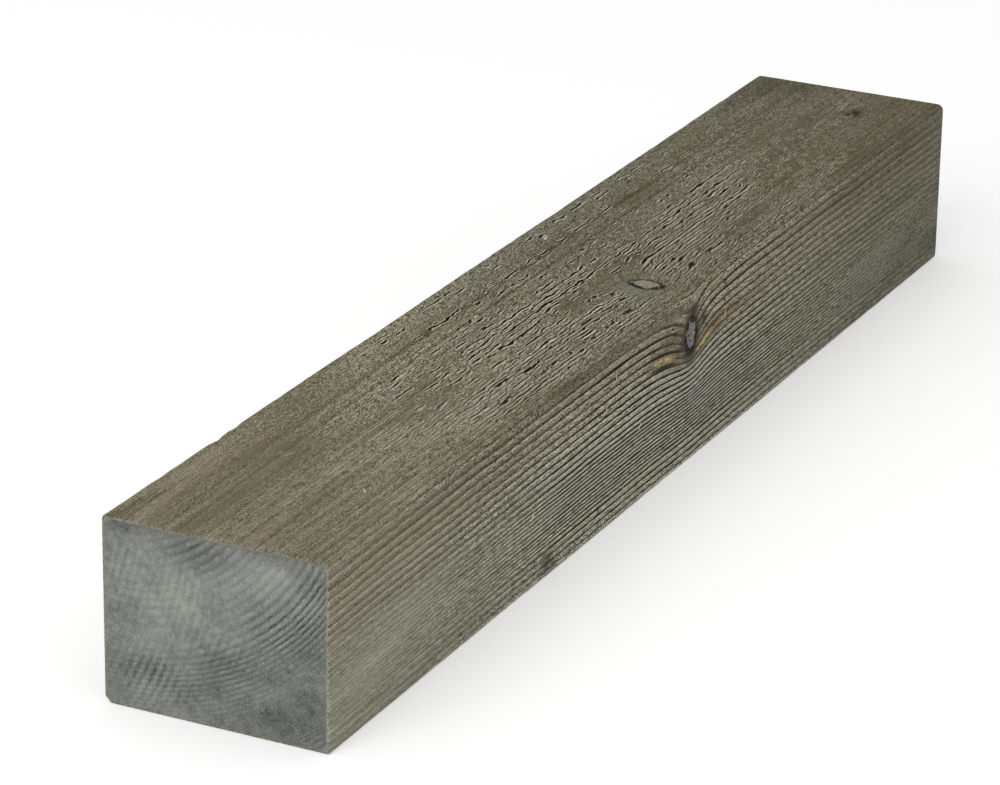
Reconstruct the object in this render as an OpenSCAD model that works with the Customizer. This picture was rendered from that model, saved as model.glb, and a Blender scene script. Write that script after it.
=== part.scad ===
// A short length of sawn softwood batten, pressure treated and weathered grey.
// It lies on its wider face: X runs along the grain, Z is up, and the origin is at the middle of
// the lower face. The near end is at -X, and the side with the knot faces -Y.

/* [Timber] */
// Length along the grain, from one cross-cut end to the other
timber_length = 320; // [150:1:1200]
// Width of the upper and lower faces
timber_width = 50; // [38:1:100]
// Height of the two sides
timber_height = 40; // [25:1:75]

/* [Arrises] */
// Radius of the worn upper arris on the knot side
knot_side_upper_radius = 1.6; // [0.3:0.1:4]
// Radius of the lower arris on the knot side, which is nearly as crisp as the saw left it
knot_side_lower_radius = 0.5; // [0.3:0.1:4]
// Radius of the upper arris on the plain side
plain_side_upper_radius = 0.8; // [0.3:0.1:4]
// Leg of the flat chamfer along the lower arris on the plain side
plain_side_lower_chamfer = 1.3; // [0.3:0.1:4]

/* [Ends] */
// Radius of the edges round the near end, fresh from the saw
near_end_edge_radius = 0.4; // [0.2:0.1:3]
// Radius of the edges round the far end, blunted by handling
far_end_edge_radius = 1.3; // [0.2:0.1:3]

/* [Nicks in the upper arris on the plain side] */
// Distance from the near end to the middle of the long nick
long_nick_place = 44; // [20:1:100]
// Length of the long nick along the arris
long_nick_length = 5.2; // [3:0.1:10]
// Depth of the long nick below the worn arris
long_nick_depth = 0.45; // [0.2:0.05:0.8]
// Distance from the middle of the long nick to the middle of the short one
nick_spacing = 7.4; // [6:0.1:30]
// Length of the short nick along the arris
short_nick_length = 4.2; // [3:0.1:10]
// Depth of the short nick below the worn arris
short_nick_depth = 0.3; // [0.2:0.05:0.8]

/* [Hidden] */
$fn = 128;
// Distance by which every waste piece and prism runs past the timber
overrun = 2;
// Colour of the weathered faces
weathered_wood = "#6e6a59";

// The waste between a square corner at the origin and the arc that rounds it
module rounding_waste(radius) {
    difference() {
        translate([-overrun, -overrun]) square(radius + overrun);
        translate([radius, radius]) circle(r = radius);
    }
}

// The waste between a square corner at the origin and the straight chamfer across it
module chamfer_waste(leg) {
    polygon([[-overrun, -overrun], [leg + overrun, -overrun], [-overrun, leg + overrun]]);
}

// Puts a corner's waste at one corner of a rectangle, counted anticlockwise from its lower left
module at_corner(width, height, corner) {
    places = [[0, 0], [width, 0], [width, height], [0, height]];
    turn = 90 * corner;
    translate(places[corner]) rotate(turn) children();
}

// Outline across the grain: left is the knot side, and each arris is worn in its own way
module section_outline() {
    difference() {
        square([timber_width, timber_height]);
        at_corner(timber_width, timber_height, 0) rounding_waste(knot_side_lower_radius);
        at_corner(timber_width, timber_height, 1) chamfer_waste(plain_side_lower_chamfer);
        at_corner(timber_width, timber_height, 2) rounding_waste(plain_side_upper_radius);
        at_corner(timber_width, timber_height, 3) rounding_waste(knot_side_upper_radius);
    }
}

// Outline along the grain, as deep as the face it is seen from: left is the near end
module lengthwise_outline(depth) {
    end_radii = [near_end_edge_radius, far_end_edge_radius, far_end_edge_radius, near_end_edge_radius];
    difference() {
        square([timber_length, depth]);
        for (corner = [0 : 3])
            at_corner(timber_length, depth, corner) rounding_waste(end_radii[corner]);
    }
}

// The section carried along the grain, past both ends
module section_prism() {
    translate([-timber_length / 2 - overrun, -timber_width / 2, 0])
        rotate([90, 0, 90]) linear_extrude(timber_length + 2 * overrun) section_outline();
}

// The outline seen from above, which eases the upright edges of the ends
module plan_prism() {
    translate([-timber_length / 2, -timber_width / 2, -overrun])
        linear_extrude(timber_height + 2 * overrun) lengthwise_outline(timber_width);
}

// The outline seen from the side, which eases the level edges of the ends
module elevation_prism() {
    translate([-timber_length / 2, timber_width / 2 + overrun, 0])
        rotate([90, 0, 0]) linear_extrude(timber_width + 2 * overrun) lengthwise_outline(timber_height);
}

// A ball whose cap is the splinter lost from the upper arris on the plain side. The cap's chord is
// the nick's length and its height the nick's depth, both taken where rounding has left the arris.
module nick_ball(place, length, depth) {
    ball_radius = (pow(length / 2, 2) + pow(depth, 2)) / (2 * depth);
    worn_away = plain_side_upper_radius * (sqrt(2) - 1);
    standoff = (ball_radius - depth - worn_away) / sqrt(2);
    translate([place - timber_length / 2, timber_width / 2 + standoff, timber_height + standoff])
        sphere(r = ball_radius);
}

// The whole length of timber, cut from one piece of wood
module sawn_timber() {
    color(weathered_wood)
    difference() {
        intersection() {
            section_prism();
            plan_prism();
            elevation_prism();
        }
        nick_ball(long_nick_place, long_nick_length, long_nick_depth);
        nick_ball(long_nick_place + nick_spacing, short_nick_length, short_nick_depth);
    }
}

sawn_timber();
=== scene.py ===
"""Dresses one short length of weathered, rough-sawn softwood and sets it in a plain studio.

The timber's shapes and patterns are worked out in millimetres and put into the meshes in metres. X runs
along the grain from the near end to the far end, the side with the knot faces -Y, and the lower face lies
on z = 0.
"""

import logging
import math
from collections.abc import Iterable, Sequence
from dataclasses import dataclass
from enum import Enum, IntEnum
from typing import Any, NamedTuple

import bpy
import numpy as np
from mathutils import Matrix, Vector
from mathutils.geometry import delaunay_2d_cdt


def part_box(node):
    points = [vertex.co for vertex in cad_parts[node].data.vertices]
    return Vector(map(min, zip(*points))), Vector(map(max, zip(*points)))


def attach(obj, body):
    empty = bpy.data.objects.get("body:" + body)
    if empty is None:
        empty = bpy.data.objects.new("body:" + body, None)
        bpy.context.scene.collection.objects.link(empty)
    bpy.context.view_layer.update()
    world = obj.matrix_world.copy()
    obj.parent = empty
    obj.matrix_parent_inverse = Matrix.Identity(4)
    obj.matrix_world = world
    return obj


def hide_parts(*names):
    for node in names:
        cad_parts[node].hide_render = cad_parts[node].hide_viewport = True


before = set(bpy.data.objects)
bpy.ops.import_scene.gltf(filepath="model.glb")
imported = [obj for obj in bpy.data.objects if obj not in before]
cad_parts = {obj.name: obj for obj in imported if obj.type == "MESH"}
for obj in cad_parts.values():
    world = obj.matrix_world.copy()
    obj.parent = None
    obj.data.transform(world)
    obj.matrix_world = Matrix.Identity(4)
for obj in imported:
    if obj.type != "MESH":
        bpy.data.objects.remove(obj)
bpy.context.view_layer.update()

Array = np.ndarray
Socket = bpy.types.NodeSocket
Tree = bpy.types.NodeTree
Value = Any  # a socket, or what an input of a node holds
Pair = tuple[float, float]
Size = tuple[float, float, float]
Ramp = tuple[float, float, float, float]  # start and stop, and what each of them turns into

MM = 0.001  # metres in one millimetre
NODE = "sawn_timber"
BODY = "root"

MATH = "ShaderNodeMath"
MIX = "ShaderNodeMix"
RANGE = "ShaderNodeMapRange"
COLOUR_RAMP = "ShaderNodeValToRGB"
VECTOR_MATH = "ShaderNodeVectorMath"

ATTRIBUTES = ("growth", "weather_and_light", "damage_and_light", "branch", "surface")

log = logging.getLogger("sawn_timber")


class Face(Enum):
    """The long faces, by the direction that each faces in the section."""

    UPPER = (0, 1)
    KNOT_SIDE = (-1, 0)
    PLAIN_SIDE = (1, 0)
    LOWER = (0, -1)


class End(Enum):
    """The two sawn ends, by the way that each faces along X."""

    NEAR = -1
    FAR = 1


class Seed(IntEnum):
    """Picks the noise or the draws of each pattern on the skin."""

    BANDS = 31
    BLOOM = 37
    BLOTCHES = 41
    GREEN = 43
    WAVES = 51
    FUZZ = 53
    BRUISE = 57
    WEAR = 61
    JAG = 63
    NET = 71
    PATCHES = 73
    ARCS = 75
    FELT = 77
    HOLLOWS = 79
    END_RINGS = 81
    END_TONES = 83


Shares = dict[Face, Array]


class Cloud(NamedTuple):
    """A soft patch on a sawn end, placed in millimetres from the plain side and below the upper face."""

    across: float
    down: float
    breadth: float
    drop: float
    strength: float


class Mark(NamedTuple):
    """A soft-edged mark on a long face, in millimetres, with its strength from 0 to 1.

    along is measured from the near end. across is measured from the plain side on the upper face, and down
    from the upper face on the knot side.
    """

    face: Face
    along: float
    across: float
    length: float
    breadth: float
    strength: float


class Fibre(NamedTuple):
    """A loose fibre on a long face, placed as a mark is, with its bearing from the grain in degrees."""

    face: Face
    along: float
    across: float
    length: float
    breadth: float
    bearing: float


def linear(colour: str) -> tuple[float, float, float, float]:
    """Turns an sRGB hex colour into the linear RGBA that a shader socket takes.

    Args:
        colour: Six hex digits after a hash sign.

    Returns:
        Linear red, green and blue, and an alpha of 1.
    """
    parts = [int(colour[place:place + 2], 16) / 255 for place in (1, 3, 5)]
    curved = [part / 12.92 if part <= 0.04045 else ((part + 0.055) / 1.055) ** 2.4 for part in parts]
    return curved[0], curved[1], curved[2], 1.0


def smoothstep(low: float, high: float, value: Array) -> Array:
    """An s-curve from 0 at low to 1 at high: 3t^2 - 2t^3 of the clipped share t of the way between them.

    Args:
        low: Where the curve leaves 0.
        high: Where it reaches 1, above or below low.
        value: The numbers to read it at.

    Returns:
        The curve at each number.
    """
    share = np.clip((value - low) / (high - low), 0, 1)
    return share * share * (3 - 2 * share)


def bell(value: Array, middle: Array | float, half: Array | float, power: int = 2) -> Array:
    """A bell about its middle: exp(-|t|^p), where t is the distance from the middle in halves."""
    return np.exp(-np.abs((value - middle) / half) ** power)


def corner_values(cells: Array, seed: int) -> Array:
    """Repeatable numbers for whole-number cells: a hash that multiplies, folds and mixes indices and seed.

    Args:
        cells: Whole numbers, three in the last axis.
        seed: Picks one set of numbers.

    Returns:
        A number from -1 to 1 for each cell.
    """
    mask = np.int64(0xFFFFFFFF)
    mixed = (cells @ np.array([73856093, 19349663, 83492791]) + seed * 26699) & mask
    for fold, factor in ((15, 0x2C1B3C6D), (12, 0x297A2D39)):
        mixed = ((mixed ^ (mixed >> fold)) * factor) & mask
    mixed = mixed ^ (mixed >> 15)
    return mixed / 2147483648.0 - 1


def cell_noise(points: Array, cell: Size, seed: int, octaves: int = 1) -> Array:
    """Smooth noise: numbers at the corners of box cells, blended on each axis by 6t^5 - 15t^4 + 10t^3.

    Args:
        points: Places in millimetres, three numbers in the last axis.
        cell: The cell's length along each axis, in millimetres.
        seed: Picks one noise.
        octaves: How many layers are added, each with half the cell and half the height of the one before.

    Returns:
        The noise at each point, from about -1 to 1.
    """
    total = np.zeros(points.shape[:-1])
    for octave in range(octaves):
        scaled = points / np.array(cell) * 2 ** octave
        base = np.floor(scaled)
        share = scaled - base
        blend = share ** 3 * (share * (6 * share - 15) + 10)
        for corner in np.ndindex(2, 2, 2):
            weight = np.prod(np.where(corner, blend, 1 - blend), axis=-1)
            total += weight * corner_values((base + corner).astype(np.int64), seed + octave) * 0.5 ** octave
    return total


def add_node(tree: Tree, kind: str, inputs: dict[int | str, Any] | None = None, out: int | str = 0,
             stops: Sequence[tuple[float, Any]] = (), **settings: Any) -> Socket | None:
    """Adds one node with its settings and links.

    Args:
        tree: The material's or world's node tree.
        kind: The node's type name.
        inputs: For each input, by place or name, the socket or the value that it takes.
        out: The output that is wanted, by place or name.
        stops: For a colour ramp, each stop's place and its colour or grey level.
        settings: The node's own properties.

    Returns:
        The wanted output socket, or None from a node that has no output.
    """
    node = tree.nodes.new(kind)
    for name, setting in settings.items():
        setattr(node, name, setting)
    for place, (position, level) in enumerate(stops):
        elements = node.color_ramp.elements
        stop = elements[place] if place < 2 else elements.new(position)
        stop.position = position
        stop.color = linear(level) if isinstance(level, str) else (level, level, level, 1)
    for key, value in (inputs or {}).items():
        if isinstance(value, Socket):
            tree.links.new(value, node.inputs[key])
        else:
            node.inputs[key].default_value = value
    return node.outputs[out] if node.outputs else None


def grain_noise(tree: Tree, place: Socket, cell: Size, detail: float) -> Socket:
    """Noise of a real size: the place in millimetres is divided by the cell before the noise is read.

    Args:
        tree: The material's node tree.
        place: The place in millimetres.
        cell: The pattern's size along each axis, in millimetres.
        detail: How many finer layers it has.

    Returns:
        The noise, from 0 to 1.
    """
    per_cell = tuple(1 / size for size in cell)
    scaled = add_node(tree, VECTOR_MATH, {0: place, 1: per_cell}, operation="MULTIPLY")
    return add_node(tree, "ShaderNodeTexNoise", {
        "Vector": scaled, "Scale": 1.0, "Detail": detail, "Roughness": 0.62})


def painted(tree: Tree, name: str) -> list[Socket]:
    """Reads one of the skin's attributes.

    Args:
        tree: The material's node tree.
        name: The attribute's name.

    Returns:
        Its three numbers.
    """
    vector = add_node(tree, "ShaderNodeAttribute", out="Vector", attribute_name=name)
    return list(add_node(tree, "ShaderNodeSeparateXYZ", {0: vector}).node.outputs)


def new_material(name: str) -> tuple[bpy.types.Material, Tree, Socket]:
    """Starts a material with an empty node tree.

    Args:
        name: The material's name.

    Returns:
        The material, its tree, and the place of a surface point in millimetres.
    """
    material = bpy.data.materials.new(name)
    material.use_nodes = True
    tree = material.node_tree
    tree.nodes.clear()
    origin = add_node(tree, "ShaderNodeTexCoord", out="Object")
    place = add_node(tree, VECTOR_MATH, {0: origin, "Scale": 1 / MM}, operation="SCALE")
    return material, tree, place


def times(tree: Tree, first: Value, second: Value, plus: Value = None) -> Socket:
    """Multiplies two values, and adds a third where one is given.

    Args:
        tree: The node tree.
        first: A socket or a number.
        second: A socket or a number.
        plus: What is added, if anything.

    Returns:
        The result.
    """
    if plus is None:
        return add_node(tree, MATH, {0: first, 1: second}, operation="MULTIPLY")
    return add_node(tree, MATH, {0: first, 1: second, 2: plus}, operation="MULTIPLY_ADD")


def weighted(tree: Tree, total: Value, parts: Iterable[tuple[Socket, float]]) -> Socket:
    """Adds each part times its weight to a total.

    Args:
        tree: The node tree.
        total: A socket or a number to start from.
        parts: Each part and its weight.

    Returns:
        The sum.
    """
    for part, weight in parts:
        total = times(tree, part, weight, total)
    return total


def ranged(tree: Tree, value: Socket, start: Value, stop: Value, low: Value = 0.0,
           high: Value = 1.0) -> Socket:
    """Carries start to stop onto low to high in a straight line, and holds it there outside them."""
    return add_node(tree, RANGE, {0: value, 1: start, 2: stop, 3: low, 4: high})


def layered(tree: Tree, colour: Value, layers: Iterable[tuple[Socket, Value]], blend: str = "MIX") -> Socket:
    """Lays colours over one another in turn, each by its own mask.

    Args:
        tree: The node tree.
        colour: What lies at the bottom, a socket or an sRGB hex colour.
        layers: Each layer's mask, and its colour as a socket or sRGB hex.
        blend: How a layer joins what lies under it.

    Returns:
        The colour with all its layers.
    """
    for mask, shade in layers:
        under, over = (linear(each) if isinstance(each, str) else each for each in (colour, shade))
        colour = add_node(tree, MIX, {0: mask, 6: under, 7: over}, 2, data_type="RGBA", blend_type=blend)
    return colour


def shaded(tree: Tree, inputs: dict[str, Value], height: Socket | None = None, relief: float = 1.0) -> None:
    """Ends a material: a bump where there is a height, one shader, and the output.

    Args:
        tree: The material's node tree.
        inputs: What the shader's inputs hold or are linked to, by name.
        height: The height of the fine relief in millimetres, if there is any.
        relief: How strongly it shows.
    """
    if height:
        inputs["Normal"] = add_node(tree, "ShaderNodeBump", {
            "Strength": relief, "Distance": MM, "Height": height})
    shader = add_node(tree, "ShaderNodeBsdfPrincipled", inputs)
    add_node(tree, "ShaderNodeOutputMaterial", {"Surface": shader})


def seen_directly(tree: Tree) -> Socket:
    """Tells rays that come from the camera, a mirror or glass from light that bounces.

    Args:
        tree: The node tree.

    Returns:
        1 for those rays, and 0 for the others.
    """
    rays = add_node(tree, "ShaderNodeLightPath").node.outputs
    seen = rays["Is Camera Ray"]
    for ray in ("Is Glossy Ray", "Is Transmission Ray"):
        seen = add_node(tree, MATH, {0: seen, 1: rays[ray]}, operation="MAXIMUM")
    return seen


def put(name: str, data: bpy.types.ID) -> bpy.types.Object:
    """Makes an object of a mesh, lamp or camera and links it to the scene, at the origin.

    Args:
        name: The object's name.
        data: What it shows.

    Returns:
        The object.
    """
    thing = bpy.data.objects.new(name, data)
    bpy.context.collection.objects.link(thing)
    return thing


class TearRows(NamedTuple):
    """Rows of torn dashes along the grain: pitch, usual length and wander in millimetres, greatest half
    width in rows, rarity, how much the rows differ in it, and darkness."""

    pitch: float
    length: float
    wander: float
    half_width: float
    rarity: float
    unevenness: float
    darkness: float


@dataclass(frozen=True)
class LongGrainFinish:
    """Softwood sawn along the grain and left outdoors: matt grey-brown fibres with a gritty fuzz, thin dark
    lines of late wood between paler bands of early wood, torn fibres with painted shadow in them and painted
    highlights on their lips, brown where water has stood, and painted shade and sheen in patches."""

    early: str = "#e3dcc0"
    early_shade: str = "#353225"
    late: str = "#191308"
    brown: str = "#6b5a42"
    # Grey bloom, and a painted bluish sheen in two patches on the knot side.
    bloom_and_sheen: str = "#9b9a92"
    moss: str = "#66634a"
    # Dirt, and painted shade: darker about the middle of the upper face and towards the far end.
    dirt_and_shade: str = "#322d20"
    # Torn fibre, with painted shadow in the tears.
    torn_and_shadow: str = "#17120a"
    # Painted highlight on the tears' lifted lips and pale edges.
    lit_lip: str = "#e2dbc4"
    resin: str = "#e6cd84"
    resin_shade: str = "#6b4820"
    knot_heart: str = "#cfc7b2"
    knot_core: str = "#aeacaf"
    knot_grain: str = "#2b2825"
    knot_rim: str = "#120f0b"
    knot_collar: str = "#5a554b"
    cold: str = "#f0f7ff"
    grit: Size = (0.36, 0.21, 0.21)
    fibre: Size = (2.4, 0.32, 0.32)
    streak: Size = (30.0, 1.2, 1.2)
    mottle: Size = (48.0, 9.0, 9.0)
    clump: Size = (1.9, 1.5, 1.5)
    jag: Size = (6.0, 4.0, 4.0)
    fraying: Size = (0.06, 0.14, 0.34)
    lightness: Pair = (7.6, 4.4)
    base_light: float = 0.26
    streaking: float = 0.55
    fresh_light: float = 0.42
    # How much lighter the bloom and its painted sheen are.
    bloom_and_sheen_light: float = 0.3
    # Painted light: the knot side is painted lighter than the other faces.
    knot_side_painted_light: float = 0.09
    coarse_tears: TearRows = TearRows(1.7, 3.5, 2.4, 0.18, 1.005, 0.23, 1.0)
    fine_tears: TearRows = TearRows(1.05, 2.3, 1.8, 0.235, 0.995, 0.20, 0.95)
    coarse_lanes: Ramp = (32.0, 40.0, 1.0, 0.78)
    fine_lanes: Ramp = (20.0, 34.0, 0.5, 1.1)
    cold_lanes: Ramp = (58.0, 68.0, 0.0, 0.6)
    resin_grain: Pair = (1.22, 1.58)
    resin_fibre: Ramp = (0.36, 0.62, 0.5, 1.2)
    knot_fray: Pair = (0.35, 0.6)
    # In knot radii, each on the upper face and then on the side, and the least of the rim where it is broken.
    heart_edge: Pair = (1.06, 1.02)
    heart_whole: Pair = (0.94, 0.88)
    rim_opens: Pair = (0.68, 0.78)
    rim_starts: Pair = (0.82, 0.88)
    rim_full: Pair = (1.04, 1.22)
    rim_ends: Pair = (1.20, 1.46)
    rim_least: Pair = (0.65, 0.0)
    roughness: float = 0.88
    resin_roughness: float = 0.5
    specular: float = 0.06
    relief: float = 0.8

    def material(self) -> bpy.types.Material:
        """Builds the material: the grain's noises, the wood's colours, the marks, and then the relief.

        Returns:
            The material.
        """
        material, tree, place = new_material("weathered_softwood_long_grain")
        age, strength, side = painted(tree, "growth")
        # Brown stain, bloom with a painted sheen, and dirt with painted shade.
        brown, bloom_and_sheen, dirt_and_shade = painted(tree, "weather_and_light")
        # Torn fibre with painted shadow in the tears, a painted highlight on the dents' lips, and wear.
        torn_and_shadow, lit_lip, wear = painted(tree, "damage_and_light")
        knot, resin, moss = painted(tree, "branch")
        rough, width, lane = painted(tree, "surface")
        cells = ((self.grit, 1.0), (self.fibre, 2.0), (self.streak, 3.0), (self.mottle, 3.0),
                 (self.clump, 2.0))
        grit, fibre, streak, mottle, clump = (
            grain_noise(tree, place, cell, detail) for cell, detail in cells)
        line, fresh, chance = self.late_wood(tree, (age, strength, width), (grit, fibre, streak))
        sharp = add_node(tree, MATH, {0: rough, 1: 1.6}, operation="MULTIPLY", use_clamp=True)
        tears = []
        for lanes, kind in ((self.coarse_lanes, self.coarse_tears), (self.fine_lanes, self.fine_tears)):
            worn = times(tree, ranged(tree, lane, *lanes), wear)
            tears += [times(tree, mask, sharp) for mask in self.torn_rows(tree, place, (lane, worn), kind)]
        # dash and short: dark tears, torn fibre with painted shadow; edge and rim: painted highlights beside
        # them.
        dash, edge, short, rim = tears
        colour = self.wood_colour(tree, (grit, fibre, streak, mottle), (brown, bloom_and_sheen, moss),
                                  (chance, fresh, rough, side))
        low = times(tree, ranged(tree, lane, *self.cold_lanes), side)
        colour = layered(tree, colour, [(low, self.cold)], "MULTIPLY")
        thick = times(tree, resin, 0.5, add_node(tree, MATH, {0: clump, 1: grit}))
        gold = layered(tree, self.resin_shade, [(ranged(tree, thick, *self.resin_grain), self.resin)])
        sticky = times(tree, resin, ranged(tree, fibre, *self.resin_fibre))
        colour = layered(tree, colour, [(sticky, gold), (line, self.late)])
        colour = self.branch_colour(tree, colour, (knot, side), (grit, clump))
        # Dirt with painted shade, painted highlights on the tears' edges and lips, then torn fibre with
        # painted shadow.
        colour = layered(tree, colour, (
            (dirt_and_shade, self.dirt_and_shade), (edge, self.lit_lip), (rim, self.lit_lip), (lit_lip, self.lit_lip), (dash, self.torn_and_shadow),
            (short, self.torn_and_shadow), (torn_and_shadow, self.torn_and_shadow)))
        fuzz = times(tree, weighted(tree, 0.0, ((grit, 0.05), (fibre, 0.07))), rough)
        height = weighted(tree, fuzz, (
            (streak, 0.05), (line, -0.05), (dash, -0.2), (edge, 0.07), (short, -0.09)))
        roughness = ranged(tree, resin, 0.0, 1.0, self.roughness, self.resin_roughness)
        shaded(tree, {"Base Color": colour, "Roughness": roughness, "Specular IOR Level": self.specular},
               height, self.relief)
        return material

    def late_wood(self, tree: Tree, rings: Sequence[Socket], grain: Sequence[Socket]) -> tuple[Socket, ...]:
        """Late wood darkens the last third of a millimetre of each ring, some years more, and stops sharply.

        Args:
            tree: The material's node tree.
            rings: Rings counted from the pith, how clearly they show, and their width in millimetres.
            grain: The grit, fibre and streak noises, which fray and bend the lines.

        Returns:
            The mask of the dark lines, the mask of the pale wood just after each, and a number by chance
            for each year.
        """
        age, clearness, width = rings
        grit, _, streak = grain
        bent = add_node(tree, MATH, {0: age, 1: sum(self.fraying) / 2}, operation="SUBTRACT")
        bent = weighted(tree, bent, zip(grain, self.fraying))
        season = add_node(tree, MATH, {0: bent}, operation="FRACT")
        before = add_node(tree, MATH, {0: 1.0, 1: season}, operation="SUBTRACT")
        dark = add_node(tree, COLOUR_RAMP, {0: times(tree, before, width)}, stops=(
            (0.0, 0.4), (1.0, 0.0), (0.04, 1.0), (0.23, 1.0), (0.32, 0.5), (0.46, 0.0)))
        fresh = add_node(tree, COLOUR_RAMP, {0: season}, stops=(
            (0.0, 0.4), (1.0, 0.0), (0.06, 1.0), (0.30, 0.0)))
        year = add_node(tree, MATH, {0: bent}, operation="FLOOR")
        chance = add_node(tree, "ShaderNodeTexWhiteNoise", {"W": year}, noise_dimensions="1D")
        depth = ranged(tree, chance, 0.0, 1.0, 0.8, 1.1)
        fade = ranged(tree, streak, 0.3, 0.65, 0.75, 1.2)
        specks = ranged(tree, grit, 0.36, 0.62, 1.1, 0.85)
        for share in (clearness, depth, fade, specks):
            dark = times(tree, dark, share)
        return dark, times(tree, fresh, clearness), chance

    def torn_rows(self, tree: Tree, place: Socket, ground: tuple[Socket, Socket],
                  kind: TearRows) -> tuple[Socket, Socket]:
        """Rows of torn dashes along the grain: noise along each row opens a jagged lens where it is high,
        more often where the face is worn, and a pale lifted edge, a painted highlight, lies beside the dark
        tear, which is torn fibre with painted shadow in it.

        The dark lens is where the opening and a peak across the row, 1 in its middle, together pass 1.

        Args:
            tree: The material's node tree.
            place: The place in millimetres.
            ground: The place across the grain in millimetres, and how torn the surface is, from 0 to 1.
            kind: The rows' sizes.

        Returns:
            The masks of the dark tears, torn fibre with painted shadow, and of their pale edges, a painted
            highlight.
        """
        across, wear = ground
        rows = times(tree, grain_noise(tree, place, self.jag, 2.0), kind.wander, across)
        rows = add_node(tree, MATH, {0: rows, 1: kind.pitch}, operation="DIVIDE")
        row = add_node(tree, MATH, {0: rows}, operation="FLOOR")
        chance = add_node(tree, "ShaderNodeTexWhiteNoise", {"W": row}, noise_dimensions="1D")
        within = add_node(tree, MATH, {0: rows}, operation="FRACT")
        along = add_node(tree, "ShaderNodeSeparateXYZ", {0: place})
        along = add_node(tree, MATH, {0: along, 1: kind.length}, operation="DIVIDE")
        apart = times(tree, row, 5.3)
        lane = add_node(tree, "ShaderNodeCombineXYZ", {0: along, 1: apart, 2: 0.5})
        noise = add_node(tree, "ShaderNodeTexNoise", {"Vector": lane, "Scale": 1.0, "Detail": 0.6})
        raised = weighted(tree, noise, ((wear, 0.45), (chance, kind.unevenness)))
        opened = ranged(tree, raised, kind.rarity, kind.rarity + 0.04)
        masks = []
        for middle, broader, most in ((0.5, 1.0, 1.0), (0.5 + 0.2 * kind.half_width, 2.2, 0.45)):
            half = broader * kind.half_width
            stops = ((0.0, 0.0), (1.0, 0.0), (middle - half, 0.0), (middle, 1.0), (middle + half, 0.0))
            peak = add_node(tree, COLOUR_RAMP, {0: within}, stops=stops)
            lens = add_node(tree, MATH, {0: peak, 1: opened})
            masks.append(ranged(tree, lens, 1.0, 1.18, 0.0, most * kind.darkness))
        return masks[0], masks[1]

    def wood_colour(self, tree: Tree, grain: Sequence[Socket], tints: Sequence[Socket],
                    years: Sequence[Socket]) -> Socket:
        """Pale and shaded fibres, tinted in patches where the surface has weathered or where a sheen is
        painted, with the knot side painted lighter than the other faces.

        Args:
            tree: The material's node tree.
            grain: The grit, fibre, streak and mottle noises.
            tints: The masks of brown stain, grey bloom with a painted sheen on the knot side, and green
                growth.
            years: A number by chance for each year, which lets brown take some rings more than others, the
            mask of the pale wood just after each dark line, how rough the fibres stand, and 1 on the
            knot side, which is painted lighter than the other faces.

        Returns:
            The early wood's colour.
        """
        streak, mottle = grain[2:]
        brown, bloom_and_sheen, moss = tints
        chance, fresh, rough, side = years
        light = weighted(tree, -sum(self.lightness) / 2, zip(grain[:2], self.lightness))
        light = times(tree, light, rough, self.base_light - self.streaking / 2)
        # The bloom and its painted sheen are lighter, and the knot side is painted lighter than the other
        # faces.
        light = weighted(tree, light, (
            (streak, self.streaking), (fresh, self.fresh_light), (bloom_and_sheen, self.bloom_and_sheen_light),
            (side, self.knot_side_painted_light)))
        patch = ranged(tree, mottle, 0.34, 0.66, 0.45, 1.25)
        stained = times(tree, brown, ranged(tree, chance, 0.55, 0.75, 0.6, 1.1))
        patches = [(times(tree, mask, patch), shade) for mask, shade in (
            (stained, self.brown), (bloom_and_sheen, self.bloom_and_sheen), (moss, self.moss))]
        return layered(tree, self.early_shade, [(light, self.early), *patches])

    def branch_colour(self, tree: Tree, colour: Socket, branch: tuple[Socket, Socket],
                      noises: tuple[Socket, Socket]) -> Socket:
        """The knot: a mottled pale heart, a ragged and broken black rim of old bark, and on the side a
        smooth brown collar round it.

        Args:
            tree: The material's node tree.
            colour: The wood's colour.
            branch: The distance from the knot's middle in knot radii, and 1 on the knot side.
            noises: The grit and clump noises, which make the knot ragged.

        Returns:
            The colour with the knot.
        """
        knot, side = branch
        grit, clump = noises
        ragged = add_node(tree, MATH, {0: knot, 1: sum(self.knot_fray) / 2}, operation="SUBTRACT")
        ragged = weighted(tree, ragged, zip(noises, self.knot_fray))
        edge, whole, opens, starts, full, ends, least = (ranged(tree, side, 0.0, 1.0, *places) for places in (
            self.heart_edge, self.heart_whole, self.rim_opens, self.rim_starts, self.rim_full, self.rim_ends,
            self.rim_least))
        collar = times(tree, times(tree, ranged(tree, ragged, 2.2, 1.6), side), 0.85)
        flecks = ranged(tree, times(tree, side, -0.06, grit), 0.38, 0.52)
        heart = layered(tree, self.knot_heart, [(side, self.knot_core)])
        heart = layered(tree, self.knot_grain, [(flecks, heart)])
        inside = ranged(tree, ragged, edge, whole, 0.0, 0.95)
        broken = ranged(tree, add_node(tree, MATH, {0: clump, 1: grit}), 0.90, 1.0, least, 1.0)
        rim = ranged(tree, ragged, opens, starts)
        for share in (ranged(tree, ragged, ends, full), broken):
            rim = times(tree, rim, share)
        return layered(tree, colour, ((collar, self.knot_collar), (inside, heart), (rim, self.knot_rim)))


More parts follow.
